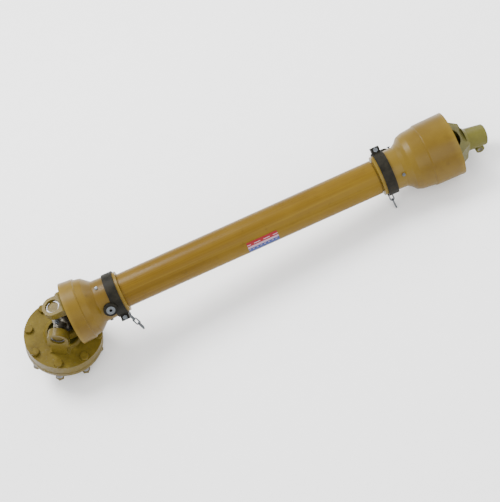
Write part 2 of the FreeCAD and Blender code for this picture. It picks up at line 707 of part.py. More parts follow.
def release_pin():
    """Push pin of the quick release, waisted where the spline's groove passes it."""
    place = V(size("release_place"), 0, -size("release_offset"))
    radius = size("release_pin_radius")
    reach = size("release_pin_reach")
    half = size("release_boss_half")
    pin = Part.makeCylinder(radius, half + reach, place - Y * half, Y)
    knob = Part.makeCylinder(size("release_knob_radius"), 4, place + Y * (reach - 1), Y)
    knob = knob.makeFillet(1.2, knob.Edges)
    return solid_node("release_pin", pin.fuse(knob).removeSplitter(), AT_TRACTOR)


def release_spring():
    """Return spring between the boss and the pin's knob, as closed coils."""
    start = size("release_boss_half")
    space = size("release_pin_reach") - 1 - start
    wire = 0.8
    coils = []
    for number in range(4):
        centre = V(size("release_place"), start + space * (number + 0.5) / 4, -size("release_offset"))
        coils.append(Part.makeTorus(size("release_pin_radius") + wire + 0.1, wire, centre, Y))
    return solid_node("release_spring", Part.makeCompound(coils), AT_TRACTOR)


# ---------------------------------------------------------------- guards
def left_bell():
    """Short bell of the implement end: skirt, step, shoulder and neck."""
    body = new_body("left_guard_cone")
    revolve(body, "bell", [
        ("left_rim", "left_rim_radius - bell_wall"), ("left_rim", "left_rim_radius"),
        ("left_skirt_end", "left_skirt_radius"), ("left_skirt_end + 2", "left_step_radius"),
        ("left_shoulder", "left_shoulder_radius"), ("left_neck_start", "neck_radius"),
        ("left_neck_end", "neck_tip_radius"), ("left_neck_end", "guard_outer_radius"),
        ("neck_bore_start", "guard_outer_radius"), ("neck_bore_start", "ring_radius"),
        ("left_neck_start", "ring_radius"),
        ("left_shoulder - 1", "left_shoulder_radius - bell_wall"),
        ("left_skirt_end", "left_step_radius - bell_wall")])
    soften(body, "round_edges", "edge_round", any_of([
        ring_edge("left_skirt_end", "left_skirt_radius"),
        ring_edge("left_shoulder", "left_shoulder_radius"),
        ring_edge("left_neck_start", "neck_radius")]))
    return node(body, LEFT_AXIS)


def right_bell():
    """Long bell of the tractor end: straight skirt, step, shoulder and neck."""
    body = new_body("right_guard_cone")
    rim = "0 - right_rim"
    revolve(body, "bell", [
        (rim, "right_rim_radius - bell_wall"), (rim, "right_rim_radius"),
        ("right_skirt_end", "right_rim_radius - 1"), ("right_skirt_end + 2", "right_step_radius"),
        ("right_shoulder", "right_shoulder_radius"), ("right_shoulder + 11", "58"),
        ("right_neck_start - 8", "49"),
        ("right_neck_start", "neck_radius - 1.5"),
        ("right_neck_end", "neck_tip_radius - 1"), ("right_neck_end", "guard_inner_radius"),
        ("neck_bore_start", "guard_inner_radius"), ("neck_bore_start", "ring_radius"),
        ("right_neck_start - 6", "ring_radius"), ("right_shoulder + 10", "58 - bell_wall"),
        ("right_shoulder", "right_shoulder_radius - bell_wall"),
        ("right_skirt_end", "right_step_radius - bell_wall")])
    soften(body, "round_edges", "edge_round", any_of([
        ring_edge("right_skirt_end", "right_rim_radius - 1"),
        ring_edge("right_shoulder + 11", "58")]))
    return node(body, RIGHT_AXIS)


def collar(name, place, start, end, lug_deg, eye_deg):
    """Clamp collar round the bell's neck with a bolted lug and the chain's eye."""
    inner = size("neck_radius")
    outer = inner + size("collar_thick")
    low, high = size(start), size(end)
    middle = (low + high) / 2
    band = Part.makeCylinder(outer, high - low, V(low, 0, 0), X)
    half = size("lug_half")
    lug = Part.makeBox(high - low - 4, size("lug_rise") - 3, 2 * half, V(low + 2, inner + 1, -half))
    lug.rotate(V(0, 0, 0), X, lug_deg)
    thick = size("eye_thick")
    eye = Part.makeCylinder(size("eye_radius"), thick, V(low - 6, inner - 1, 0), Y)
    eye.rotate(V(0, 0, 0), X, eye_deg)
    shape = band.fuse([lug, eye, staple(name.split("_")[0], place)])
    eye_hole = Part.makeCylinder(size("eye_hole"), 3 * thick, V(low - 6, inner - 1, 0), Y)
    eye_hole.rotate(V(0, 0, 0), X, eye_deg)
    shape = shape.cut([Part.makeCylinder(inner + 0.1, 3 * (high - low), V(low - 20, 0, 0), X), eye_hole])
    slit = Part.makeBox(high - low, size("lug_rise") + 5, 2.4, V(low, inner - 2, -1.2))
    slit.rotate(V(0, 0, 0), X, lug_deg)
    centre = V(middle, inner + size("lug_rise") * 0.5, 0)
    bores = [Part.makeCylinder(size("collar_bore_radius"), 3 * half, centre - Z * 1.5 * half, Z)]
    for side in (Z, -Z):
        bores.append(Part.makeCylinder(size("collar_seat_radius"), half, centre + side * half, side))
    for bore in bores:
        bore.rotate(V(0, 0, 0), X, lug_deg)
    return solid_node(name, shape.cut([slit] + bores).removeSplitter(), place)


def collar_bolt(name, place, start, end, lug_deg):
    """Screw and nut that draw the collar's two lugs together."""
    half = size("lug_half")
    middle = (size(start) + size(end)) / 2
    height = size("neck_radius") + size("lug_rise") * 0.5
    radius = size("collar_bolt_radius")
    centre = V(middle, height, 0)
    shank = Part.makeCylinder(radius, 2 * half + 2, centre - Z * (half + 1), Z)
    head = Part.makeCylinder(radius + 2, 3, centre + Z * half, Z)
    socket = Part.makeCylinder(radius - 1.2, 2, centre + Z * (half + 1.5), Z)
    nut = hexagon(9, 3.5, 0)
    nut.Placement = FreeCAD.Placement(centre - Z * (half + 3.5), FreeCAD.Rotation(X, Z))
    shape = shank.fuse([head.cut(socket), nut]).removeSplitter()
    turn = FreeCAD.Placement(V(0, 0, 0), FreeCAD.Rotation(X, lug_deg))
    return solid_node(name, shape, place.multiply(turn))


def eyelet(name, place, start, eye_deg):
    """Zinc-plated eyelet pressed into the collar's eye."""
    foot = size("neck_radius") - 1
    centre = V(size(start) - 6, foot, 0)
    thick = size("eye_thick")
    ring = Part.makeCylinder(size("eye_hole"), thick, centre, Y)
    brim = Part.makeCylinder(size("eye_hole") + 1.8, 1.2, centre + Y * thick, Y)
    shape = ring.fuse(brim).cut(Part.makeCylinder(size("eyelet_hole"), 2 * thick, centre - Y * 2, Y))
    shape.rotate(V(0, 0, 0), X, eye_deg)
    shape = shape.cut(Part.makeCylinder(size("neck_radius") + 0.1, 80, V(size(start) - 46, 0, 0), X))
    return solid_node(name, shape.removeSplitter(), place)


def guard_screws():
    """Three short screws that hold the bell on its bearing ring."""
    screws = []
    middle = (size("ring_start") + size("ring_end")) / 2
    for number in range(3):
        shank = Part.makeCylinder(1.6, 9, V(middle, size("neck_radius") - 8, 0), Y)
        head = Part.makeCylinder(3.4, 1.8, V(middle, size("neck_radius") + 0.2, 0), Y)
        slot = Part.makeBox(7, 1.0, 1.0, V(middle - 3.5, size("neck_radius") + 1.1, -0.5))
        screw = shank.fuse(head).cut(slot)
        screw.rotate(V(0, 0, 0), X, 90 + 120 * number)
        screws.append(screw)
    return Part.makeCompound(screws)


def label():
    """Thin printed label wrapped part of the way round the guard tube."""
    body = new_body("guard_label")
    revolve(body, "film", [("label_middle - label_half", "guard_outer_radius"),
                           ("label_middle - label_half", "guard_outer_radius + label_thick"),
                           ("label_middle + label_half", "guard_outer_radius + label_thick"),
                           ("label_middle + label_half", "guard_outer_radius")], angle="label_span_deg")
    return node(body, frame(V(0, 0, 0), X, turned(180 - size("label_top_deg"), X, Y)))


def chain_link():
    """One straight-sided chain link in the XZ plane, centred on its own middle."""
    wire = size("link_wire")
    radius = size("link_half_width") - wire
    straight = size("link_half_length") - size("link_half_width")
    top = Part.Arc(V(-radius, 0, straight), V(0, 0, straight + radius), V(radius, 0, straight))
    bottom = Part.Arc(V(radius, 0, -straight), V(0, 0, -straight - radius), V(-radius, 0, -straight))
    edges = [top.toShape(), Part.makeLine(V(radius, 0, straight), V(radius, 0, -straight)),
             bottom.toShape(), Part.makeLine(V(-radius, 0, -straight), V(-radius, 0, straight))]
    path = Part.Wire(edges)
    section = Part.Wire(Part.makeCircle(wire, V(-radius, 0, straight), Z))
    return path.makePipeShell([section], True, False)


def staple_place(side):
    """Frame of a collar's staple: X along the shaft, Z away from the shaft's middle upwards."""
    turn = FreeCAD.Rotation(X, size("staple_turn_deg"))
    return FreeCAD.Placement(V(size(side + "_staple_x"), 0, 0), turn)


def chain(side):
    """Links hanging from a collar's staple, each turned a quarter to the one above."""
    link = chain_link()
    wire = size("link_wire")
    reach = size("link_half_length") - wire
    middle = V(0, 0, -size("staple_drop"))
    swing = FreeCAD.Placement(middle, FreeCAD.Rotation(X, size(side + "_chain_swing_deg")))
    pivot = V(0, 0, -size("staple_ring"))
    first = reach - size("staple_wire") - wire - size("link_gap")
    pitch = 2 * reach - 2 * wire - size("link_gap")
    lean = FreeCAD.Placement(pivot, FreeCAD.Rotation(Y, -size(side + "_chain_lean_deg")))
    for number in range(int(size(side + "_links"))):
        hang = FreeCAD.Placement(V(0, 0, -first - pitch * number), FreeCAD.Rotation(Z, 90 * (number % 2)))
        place = staple_place(side).multiply(swing).multiply(lean).multiply(hang)
        solid_node("%s_chain_link_%d" % (side, number + 1), link.copy(), place)


def staple(side, place):
    """Half ring under the collar that the chain's first link hangs from, in the collar's frame."""
    ring = Part.makeTorus(size("staple_ring"), size("staple_wire"), V(0, 0, -size("staple_drop")), X)
    ring.Placement = place.inverse().multiply(staple_place(side)).multiply(ring.Placement)
    return ring


# ---------------------------------------------------------------- the whole shaft
def drive_line():
    inner_yoke("left_inner_yoke", AT_LEFT)
    inner_yoke("right_inner_yoke", AT_RIGHT)
    drive_tube("outer_drive_tube", AT_LEFT, "outer_lobe", "outer_bore_lobe",
               "outer_tube_end + half_span - tube_seat")
    drive_tube("inner_drive_tube", AT_RIGHT, "inner_lobe", "inner_bore_lobe",
               "half_span - inner_tube_end - tube_seat")
    roll_pin("left_roll_pin", AT_LEFT)
    roll_pin("right_roll_pin", AT_RIGHT)
    joint_set("left", LEFT_CROSS, AT_LEFT, AT_CLUTCH)
    joint_set("right", RIGHT_CROSS, AT_RIGHT, AT_TRACTOR)


def guards():
    left_bell()
    right_bell()
    tube_along("guard_outer_tube", "guard_outer_bore", "guard_outer_radius",
               "guard_outer_start", "guard_outer_end", IN_SHAFT)
    tube_along("guard_inner_tube", "guard_inner_bore", "guard_inner_radius",
               "guard_inner_start", "guard_inner_end", IN_SHAFT)
    for side, place in (("left", LEFT_AXIS), ("right", RIGHT_AXIS)):
        tube_along(side + "_guard_bearing", "ring_bore", "ring_radius", "ring_start", "ring_end", place)
        solid_node(side + "_guard_screws", guard_screws(), place)


drive_line()
clutch()
tractor_yoke()
release_pin()
release_spring()
guards()
collar("left_collar", LEFT_AXIS, "collar_start", "collar_end", 215, 157)
collar_bolt("left_collar_bolt", LEFT_AXIS, "collar_start", "collar_end", 215)
eyelet("left_collar_eyelet", LEFT_AXIS, "collar_start", 157)
collar("right_collar", RIGHT_AXIS, "right_collar_start", "right_collar_end", -40, 5)
collar_bolt("right_collar_bolt", RIGHT_AXIS, "right_collar_start", "right_collar_end", -40)
eyelet("right_collar_eyelet", RIGHT_AXIS, "right_collar_start", 5)
label()
chain("left")
chain("right")


def check_and_write():
    """Stop on any failed object, then write one STEP file per sub-part."""
    doc.recompute()
    for item in doc.Objects:
        if "Invalid" in item.State or "Error" in item.State:
            raise ValueError("failed object: " + item.Name)
    os.makedirs("parts", exist_ok=True)
    for item in nodes:
        shape = item.Shape
        if shape.isNull() or not shape.isValid():
            raise ValueError("bad shape: " + item.Label)
        shape.exportStep(os.path.join("parts", item.Label + ".step"))
        print("%-26s %8.1f cm3  x %7.1f %7.1f  y %6.1f %6.1f  z %6.1f %6.1f" % (
            item.Label, shape.Volume / 1000.0, shape.BoundBox.XMin, shape.BoundBox.XMax,
            shape.BoundBox.YMin, shape.BoundBox.YMax, shape.BoundBox.ZMin, shape.BoundBox.ZMax))


check_and_write()
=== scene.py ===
"""Studio scene for the universal joint shaft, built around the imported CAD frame.  Metres."""
import json
import math

import bmesh
import bpy
from mathutils import Matrix, Quaternion, Vector


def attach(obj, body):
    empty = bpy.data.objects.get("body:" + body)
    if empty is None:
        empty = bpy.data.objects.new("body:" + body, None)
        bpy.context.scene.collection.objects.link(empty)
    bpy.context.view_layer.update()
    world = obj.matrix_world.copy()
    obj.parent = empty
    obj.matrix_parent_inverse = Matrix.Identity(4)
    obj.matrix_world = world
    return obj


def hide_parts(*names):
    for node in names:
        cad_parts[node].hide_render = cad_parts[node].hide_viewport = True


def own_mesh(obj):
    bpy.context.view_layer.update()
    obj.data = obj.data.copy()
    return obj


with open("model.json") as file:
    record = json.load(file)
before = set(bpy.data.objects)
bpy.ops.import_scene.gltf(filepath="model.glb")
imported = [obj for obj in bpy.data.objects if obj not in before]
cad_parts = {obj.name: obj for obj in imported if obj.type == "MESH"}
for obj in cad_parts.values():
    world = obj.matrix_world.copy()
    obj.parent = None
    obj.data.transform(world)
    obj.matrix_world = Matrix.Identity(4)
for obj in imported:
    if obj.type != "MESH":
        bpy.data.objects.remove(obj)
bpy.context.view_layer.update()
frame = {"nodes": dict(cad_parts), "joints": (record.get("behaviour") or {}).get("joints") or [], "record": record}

JOINTS = {joint["name"]: joint for joint in frame["joints"]}
SHAFT_AXIS = Vector(JOINTS["telescope"]["axis"]).normalized()
LEFT_CENTRE = Vector(JOINTS["left_guard_spin"]["pos_m"])
RIGHT_CENTRE = Vector(JOINTS["right_guard_spin"]["pos_m"])
MIDDLE = (LEFT_CENTRE + RIGHT_CENTRE) / 2
TILT = math.asin(-SHAFT_AXIS.z)
CLUTCH_AXIS = Vector(JOINTS["clutch_slip"]["axis"]).normalized()
CLUTCH_PIN = Vector(JOINTS["clutch_bend"]["axis"]).normalized()

# Edges bent by more than these angles stay sharp, in degrees.
CAD_CREASE = 32
FINE_CREASE = 40


# ------------------------------------------------------------------ node helpers
class Nodes:
    """A material's node tree with short calls for the nodes used here."""

    # A colour mix node has several sockets of one name, so its sockets are taken by number.
    MIX_FACTOR = 0
    MIX_LOW = 6
    MIX_HIGH = 7
    MIX_RESULT = 2

    def __init__(self, name):
        self.material = bpy.data.materials.new(name)
        self.material.use_nodes = True
        self.tree = self.material.node_tree
        self.shader = self.tree.nodes["Principled BSDF"]

    def add(self, kind, **settings):
        node = self.tree.nodes.new(kind)
        for key, value in settings.items():
            setattr(node, key, value)
        return node

    def link(self, source, target):
        self.tree.links.new(source, target)

    def feed(self, target, value):
        """Give an input a number, a colour or another node's output."""
        if isinstance(value, (int, float)):
            target.default_value = value
        elif isinstance(value, tuple):
            target.default_value = value + (1.0,)
        else:
            self.link(value, target)

    def coordinates(self, along_shaft=False):
        """Object coordinates in metres, turned so that X runs along the shaft if asked."""
        source = self.add("ShaderNodeTexCoord").outputs["Object"]
        if not along_shaft:
            return source
        mapping = self.add("ShaderNodeMapping", vector_type="POINT")
        centre = Matrix.Rotation(-TILT, 3, "Y") @ MIDDLE
        mapping.inputs["Location"].default_value = -centre
        mapping.inputs["Rotation"].default_value = (0, -TILT, 0)
        self.link(source, mapping.inputs["Vector"])
        return mapping.outputs["Vector"]

    def stretched(self, vector, scale):
        """Scale each axis by itself: noise is drawn out along the axis with the least scale."""
        mapping = self.add("ShaderNodeMapping")
        mapping.inputs["Scale"].default_value = scale
        self.link(vector, mapping.inputs["Vector"])
        return mapping.outputs["Vector"]

    def noise(self, vector, scale, detail, roughness=0.55):
        node = self.add("ShaderNodeTexNoise")
        node.inputs["Scale"].default_value = scale
        node.inputs["Detail"].default_value = detail
        node.inputs["Roughness"].default_value = roughness
        self.link(vector, node.inputs["Vector"])
        return node.outputs["Fac"]

    def cells(self, vector, scale):
        """Distance to the nearest of many scattered points, for a grain of small cells."""
        node = self.add("ShaderNodeTexVoronoi", feature="F1")
        node.inputs["Scale"].default_value = scale
        self.link(vector, node.inputs["Vector"])
        return node.outputs["Distance"]

    def band(self, value, low, high, start=0.0, end=1.0):
        """Map low..high of a value to start..end, clamped."""
        node = self.add("ShaderNodeMapRange", interpolation_type="SMOOTHSTEP")
        for name, number in (("From Min", low), ("From Max", high), ("To Min", start), ("To Max", end)):
            node.inputs[name].default_value = number
        self.link(value, node.inputs["Value"])
        return node.outputs["Result"]

    def calculate(self, operation, *values):
        node = self.add("ShaderNodeMath", operation=operation)
        for target, value in zip(node.inputs, values):
            self.feed(target, value)
        return node.outputs[0]

    def times(self, left, right):
        return self.calculate("MULTIPLY", left, right)

    def plus(self, left, right):
        return self.calculate("ADD", left, right)

    def mix(self, factor, low, high):
        """Mix two colours, each a tuple or a socket."""
        node = self.add("ShaderNodeMix", data_type="RGBA")
        self.feed(node.inputs[self.MIX_LOW], low)
        self.feed(node.inputs[self.MIX_HIGH], high)
        self.feed(node.inputs[self.MIX_FACTOR], factor)
        return node.outputs[self.MIX_RESULT]

    def cover(self, colour, mask, over, strength):
        """Lay a colour over another where the mask shows, up to a strength."""
        return self.mix(self.times(mask, strength), colour, over)

    def edges(self, low, high):
        """Sharp convex edges, from the mesh's pointiness."""
        pointy = self.add("ShaderNodeNewGeometry").outputs["Pointiness"]
        return self.band(pointy, low, high)

    def upward(self):
        """How far a surface faces up, where dust settles."""
        normal = self.add("ShaderNodeTexCoord").outputs["Normal"]
        split = self.add("ShaderNodeSeparateXYZ")
        self.link(normal, split.inputs[0])
        return self.band(split.outputs["Z"], low=0.2, high=0.95)

    def bumps(self, *layers):
        """Stack bumps, each (height, strength, depth in metres), and feed the shader's normal."""
        below = None
        for height, strength, depth in layers:
            node = self.add("ShaderNodeBump")
            node.inputs["Strength"].default_value = strength
            node.inputs["Distance"].default_value = depth
            self.link(height, node.inputs["Height"])
            if below is not None:
                self.link(below.outputs["Normal"], node.inputs["Normal"])
            below = node
        self.link(below.outputs["Normal"], self.shader.inputs["Normal"])

    def finish(self, colour, roughness, metallic=0.0, specular=0.5, coat=0.0, coat_roughness=0.1):
        """Feed the shader and give back the material."""
        inputs = self.shader.inputs
        self.feed(inputs["Base Color"], colour)
        self.feed(inputs["Roughness"], roughness)
        self.feed(inputs["Metallic"], metallic)
        inputs["Specular IOR Level"].default_value = specular
        inputs["Coat Weight"].default_value = coat
        inputs["Coat Roughness"].default_value = coat_roughness
        return self.material


def darker(colour, share):
    """The colour at a share of its brightness."""
    return tuple(channel * share for channel in colour)


# ------------------------------------------------------------------ materials
PRIMER = (0.11, 0.09, 0.06)
RUST = (0.13, 0.07, 0.035)


def moulded_plastic(name, base, shade, light):
    """Moulded polyethylene of the bells: mottled, dusty, scuffed and lightly textured."""
    n = Nodes(name)
    at = n.coordinates(along_shaft=True)
    mottle = n.noise(at, scale=14.0, detail=6.0, roughness=0.6)
    blotch = n.noise(at, scale=5.0, detail=3.0, roughness=0.5)
    scratch = n.noise(n.stretched(at, (14.0, 90.0, 90.0)), scale=3.0, detail=5.0, roughness=0.6)
    grime = n.noise(at, scale=42.0, detail=8.0, roughness=0.7)
    grain = n.noise(at, scale=900.0, detail=2.0, roughness=0.5)
    scuff = n.times(n.band(scratch, low=0.62, high=0.74), n.band(blotch, low=0.42, high=0.6))
    colour = n.mix(n.band(mottle, low=0.36, high=0.68), shade, base)
    colour = n.cover(colour, n.band(blotch, low=0.45, high=0.72), light, strength=0.55)
    colour = n.cover(colour, scuff, light, strength=0.5)
    colour = n.cover(colour, n.band(grime, low=0.55, high=0.75), darker(shade, 0.45), strength=0.35)
    colour = n.cover(colour, n.edges(low=0.53, high=0.6), light, strength=0.5)
    worn = n.plus(mottle, n.times(scuff, 0.4))
    roughness = n.band(worn, low=0.3, high=1.1, start=0.34, end=0.6)
    n.bumps((mottle, 0.25, 0.0012), (scratch, 0.12, 0.0003), (grain, 0.16, 0.00016))
    return n.finish(colour, roughness, specular=0.16, coat=0.02, coat_roughness=0.3)


def extruded_tube(name, base, shade, light):
    """Extruded guard tube: long faint draw lines, a warmer colour and lengthwise scuffs."""
    n = Nodes(name)
    at = n.coordinates(along_shaft=True)
    lines = n.noise(n.stretched(at, (0.6, 60.0, 60.0)), scale=6.0, detail=4.0, roughness=0.6)
    cloud = n.noise(n.stretched(at, (5.0, 12.0, 12.0)), scale=1.0, detail=4.0, roughness=0.55)
    scratch = n.noise(n.stretched(at, (10.0, 160.0, 160.0)), scale=2.4, detail=5.0, roughness=0.65)
    grime = n.noise(at, scale=55.0, detail=8.0, roughness=0.7)
    scuff = n.times(n.band(scratch, low=0.63, high=0.72), n.band(cloud, low=0.48, high=0.66))
    colour = n.mix(n.band(cloud, low=0.35, high=0.7), shade, base)
    colour = n.cover(colour, n.band(lines, low=0.42, high=0.75), light, strength=0.35)
    colour = n.cover(colour, scuff, light, strength=0.6)
    colour = n.cover(colour, n.band(grime, low=0.56, high=0.74), darker(shade, 0.4), strength=0.3)
    roughness = n.band(cloud, low=0.3, high=0.8, start=0.3, end=0.48)
    n.bumps((lines, 0.16, 0.0006), (scratch, 0.1, 0.0002))
    return n.finish(colour, roughness, specular=0.13, coat=0.02, coat_roughness=0.25)


def painted_forging(name, base, shade, light, forge_depth=0.0012):
    """Sprayed paint over a rough forging, with small chips, settled dust and patches of dirt."""
    n = Nodes(name)
    at = n.coordinates()
    cloud = n.noise(at, scale=16.0, detail=5.0, roughness=0.6)
    powder = n.noise(at, scale=60.0, detail=6.0, roughness=0.7)
    mud = n.noise(at, scale=34.0, detail=8.0, roughness=0.72)
    fleck = n.noise(at, scale=260.0, detail=5.0, roughness=0.7)
    region = n.noise(at, scale=30.0, detail=3.0)
    forged = n.noise(at, scale=130.0, detail=6.0, roughness=0.62)
    peel = n.cells(at, scale=700.0)
    dust = n.times(n.upward(), n.band(powder, low=0.35, high=0.75))
    dirt = n.band(mud, low=0.56, high=0.76)
    patch = n.plus(n.edges(low=0.52, high=0.6), n.band(region, low=0.56, high=0.70))
    chip = n.times(n.band(fleck, low=0.60, high=0.66), n.calculate("MINIMUM", patch, 1.0))
    colour = n.mix(n.band(cloud, low=0.35, high=0.7), shade, base)
    colour = n.cover(colour, dust, light, strength=0.45)
    colour = n.cover(colour, dirt, darker(shade, 0.35), strength=0.55)
    colour = n.cover(colour, chip, PRIMER, strength=0.8)
    dull = n.plus(cloud, n.times(dirt, 0.5))
    roughness = n.band(dull, low=0.3, high=1.2, start=0.34, end=0.72)
    n.bumps((forged, 0.45, forge_depth), (peel, 0.12, 0.0002), (chip, -0.3, 0.0002))
    return n.finish(colour, roughness, metallic=n.times(chip, 0.8), specular=0.12, coat=0.02,
                    coat_roughness=0.25)


def metal(name, base, dark, rough, stretch=(1.0, 1.0, 1.0), stain=0.35, pits=0.1):
    """Bare or plated steel with fine machining marks, oil stains and a little rust tone."""
    n = Nodes(name)
    at = n.coordinates()
    marks = n.noise(n.stretched(at, stretch), scale=420.0, detail=5.0, roughness=0.6)
    stains = n.noise(at, scale=48.0, detail=6.0, roughness=0.65)
    bloom = n.noise(at, scale=95.0, detail=7.0, roughness=0.7)
    rust = n.times(n.band(bloom, low=0.62, high=0.78), stain)
    colour = n.mix(n.band(stains, low=0.4, high=0.75), base, dark)
    colour = n.mix(rust, colour, RUST)
    dull = n.plus(marks, n.times(stains, 0.6))
    roughness = n.band(dull, low=0.4, high=1.3, start=rough, end=rough + 0.3)
    metallic = n.band(rust, low=0.05, high=0.5, start=1.0, end=0.35)
    n.bumps((marks, 0.2, 0.0002), (stains, pits, 0.0006))
    return n.finish(colour, roughness, metallic=metallic, specular=0.5)


def black_plastic(name, base, scuffed):
    """Dark moulded strap: fine leathery grain, paler rubbed edges and dried mud."""
    n = Nodes(name)
    at = n.coordinates()
    cloud = n.noise(at, scale=60.0, detail=6.0, roughness=0.65)
    grain = n.cells(at, scale=850.0)
    rub = n.times(n.edges(low=0.51, high=0.58), n.band(cloud, low=0.35, high=0.6))
    worn = n.plus(n.times(rub, 0.6), n.band(cloud, low=0.5, high=0.85, end=0.5))
    colour = n.mix(worn, base, scuffed)
    roughness = n.band(cloud, low=0.3, high=0.8, start=0.42, end=0.68)
    n.bumps((grain, 0.25, 0.0003), (cloud, 0.2, 0.0008))
    return n.finish(colour, roughness, specular=0.09)


def plain_polymer(name, base, shade, rough, grain_scale, depth):
    """Small nylon, rubber or lining piece with grain and stains."""
    n = Nodes(name)
    at = n.coordinates()
    cloud = n.noise(at, scale=80.0, detail=6.0, roughness=0.65)
    speck = n.noise(at, scale=grain_scale, detail=4.0, roughness=0.7)
    blend = n.plus(n.times(cloud, 0.6), n.times(speck, 0.4))
    colour = n.mix(n.band(blend, low=0.38, high=0.66), base, shade)
    roughness = n.band(speck, low=0.3, high=0.75, start=rough - 0.1, end=rough + 0.12)
    n.bumps((speck, 0.35, depth), (cloud, 0.15, 0.0006))
    return n.finish(colour, roughness, specular=0.4)


# Label: each top and the edge are shares of the label's height, from the blue bar up to the red one.
LABEL_RED = (0.17, 0.004, 0.009)
LABEL_PALE = (0.27, 0.18, 0.22)
LABEL_BLUE = (0.007, 0.024, 0.13)
LABEL_WORN = (0.2, 0.15, 0.08)
LABEL_BLUE_TOP = 0.48
LABEL_PALE_TOP = 0.66
LABEL_EDGE = 0.02


def label_heights():
    """Lowest and highest place of the label across the shaft, in the shaft's own frame."""
    turn = Matrix.Rotation(-TILT, 3, "Y")
    heights = [(turn @ (vertex.co - MIDDLE)).z for vertex in frame["nodes"]["guard_label"].data.vertices]
    return min(heights), max(heights)


def printed_label(name):
    """Generic label: a blue bar, a pale bar and a red bar, with a row of pale dashes in two of them."""
    n = Nodes(name)
    at = n.coordinates(along_shaft=True)
    split = n.add("ShaderNodeSeparateXYZ")
    n.link(at, split.inputs[0])
    low, high = label_heights()

    def step_at(share, start=0.0, end=1.0):
        """Change from start to end at a share of the label's height."""
        first = low + share * (high - low)
        last = low + (share + LABEL_EDGE) * (high - low)
        return n.band(split.outputs["Z"], first, last, start, end)

    def dashes(bottom, top, period, fade):
        """A row of dashes; fade holds the two sine levels between which a dash comes in."""
        wave = n.calculate("SINE", n.times(split.outputs["X"], 2 * math.pi / period))
        row = n.times(step_at(bottom), step_at(top, start=1.0, end=0.0))
        return n.times(n.band(wave, *fade), row)

    colour = n.mix(step_at(LABEL_BLUE_TOP), LABEL_BLUE, LABEL_PALE)
    colour = n.mix(step_at(LABEL_PALE_TOP), colour, LABEL_RED)
    colour = n.mix(dashes(bottom=0.32, top=0.38, period=0.0085, fade=(-0.1, 0.05)), colour, LABEL_PALE)
    colour = n.mix(dashes(bottom=0.76, top=0.82, period=0.021, fade=(-0.5, -0.4)), colour, LABEL_PALE)
    wear = n.noise(at, scale=260.0, detail=6.0, roughness=0.7)
    colour = n.mix(n.band(wear, low=0.66, high=0.74, end=0.6), colour, LABEL_WORN)
    roughness = n.band(wear, low=0.3, high=0.8, start=0.25, end=0.5)
    n.bumps((wear, 0.15, 0.0002))
    return n.finish(colour, roughness, specular=0.2)


def make_materials():
    """One material for each of the record's slots, by the slot's name."""
    recipes = {
        "guard_yellow": (moulded_plastic, dict(
            base=(0.104, 0.062, 0.0026), shade=(0.082, 0.046, 0.0018), light=(0.145, 0.094, 0.010))),
        "tube_yellow": (extruded_tube, dict(
            base=(0.116, 0.066, 0.0012), shade=(0.090, 0.048, 0.0008), light=(0.16, 0.100, 0.006))),
        "forging_paint": (painted_forging, dict(
            base=(0.106, 0.076, 0.009), shade=(0.076, 0.052, 0.006), light=(0.140, 0.104, 0.014))),
        "hub_paint": (painted_forging, dict(
            base=(0.088, 0.080, 0.014), shade=(0.066, 0.058, 0.010), light=(0.120, 0.110, 0.022))),
        "painted_steel": (painted_forging, dict(
            base=(0.095, 0.066, 0.006), shade=(0.066, 0.044, 0.0035), light=(0.135, 0.100, 0.018),
            forge_depth=0.0003)),
        "bright_steel": (metal, dict(
            base=(0.20, 0.185, 0.155), dark=(0.08, 0.07, 0.05), rough=0.3)),
        "zinc_steel": (metal, dict(
            base=(0.115, 0.125, 0.135), dark=(0.06, 0.065, 0.07), rough=0.36, stain=0.5, pits=0.3)),
        "spring_steel": (metal, dict(
            base=(0.20, 0.20, 0.21), dark=(0.10, 0.09, 0.085), rough=0.36)),
        "tube_steel": (metal, dict(
            base=(0.32, 0.30, 0.28), dark=(0.18, 0.16, 0.14), rough=0.3, stretch=(0.1, 1.0, 1.0))),
        "black_nylon": (black_plastic, dict(
            base=(0.005, 0.0045, 0.0028), scuffed=(0.016, 0.014, 0.009))),
        "white_nylon": (plain_polymer, dict(
            base=(0.72, 0.70, 0.62), shade=(0.55, 0.51, 0.42), rough=0.45, grain_scale=600.0,
            depth=0.0002)),
        "seal_rubber": (plain_polymer, dict(
            base=(0.016, 0.015, 0.014), shade=(0.045, 0.04, 0.035), rough=0.62, grain_scale=900.0,
            depth=0.0003)),
        "lining": (plain_polymer, dict(
            base=(0.09, 0.07, 0.05), shade=(0.20, 0.16, 0.11), rough=0.82, grain_scale=380.0,
            depth=0.0008)),
        "label_film": (printed_label, dict()),
    }
    return {slot: make(slot, **settings) for slot, (make, settings) in recipes.items()}


def dress_nodes(materials):
    """Give every CAD node its slot's material and smooth shading up to its sharp edges."""
    slots = {part["node"]: part["material_slot"] for part in frame["record"]["subparts"]}
    for name, item in frame["nodes"].items():
        item.data.materials.clear()
        item.data.materials.append(materials[slots[name]])
        smooth(item, CAD_CREASE)


def smooth(item, degrees):
    """Smooth shading that keeps edges sharper than the angle."""
    limit = math.radians(degrees)
    item.data.polygons.foreach_set("use_smooth", [True] * len(item.data.polygons))
    work = bmesh.new()
    work.from_mesh(item.data)
    flags = [len(edge.link_faces) != 2 or edge.calc_face_angle(0.0) > limit for edge in work.edges]
    work.free()
    attributes = item.data.attributes
    attribute = attributes.get("sharp_edge") or attributes.new("sharp_edge", "BOOLEAN", "EDGE")
    attribute.data.foreach_set("value", flags)


# ------------------------------------------------------------------ finer pieces
WIRE_SIDES = 10
CLOSED_TURNS = 0.8

